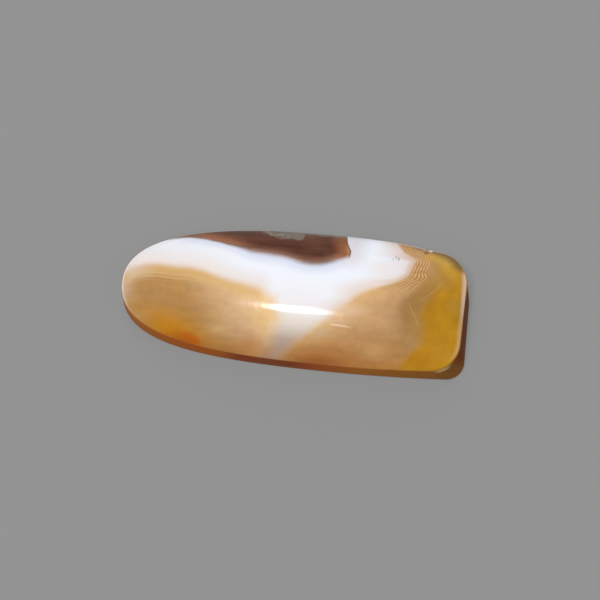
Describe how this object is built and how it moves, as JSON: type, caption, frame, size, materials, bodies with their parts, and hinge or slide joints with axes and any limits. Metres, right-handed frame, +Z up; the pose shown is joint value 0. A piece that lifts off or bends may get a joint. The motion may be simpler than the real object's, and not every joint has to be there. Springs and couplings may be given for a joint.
{
  "type": "botswana agate cabochon",
  "caption": "Long tongue-shaped polished agate cabochon with a flat back, a low flared wall and a smooth dome crossed by white, brown and amber bands.",
  "frame": {"origin": "middle of the flat back, at the centre of the stone's box", "axes": "+X along the stone towards its squared end, with the rounded nose at -X; +Y across the stone; +Z up from the flat back through the dome"},
  "size_m": [0.0404, 0.0156, 0.0052],
  "materials": {
    "agate": "polished"
  },
  "bodies": {
    "root": {"agate_cabochon": "agate"}
  },
  "joints": []
}
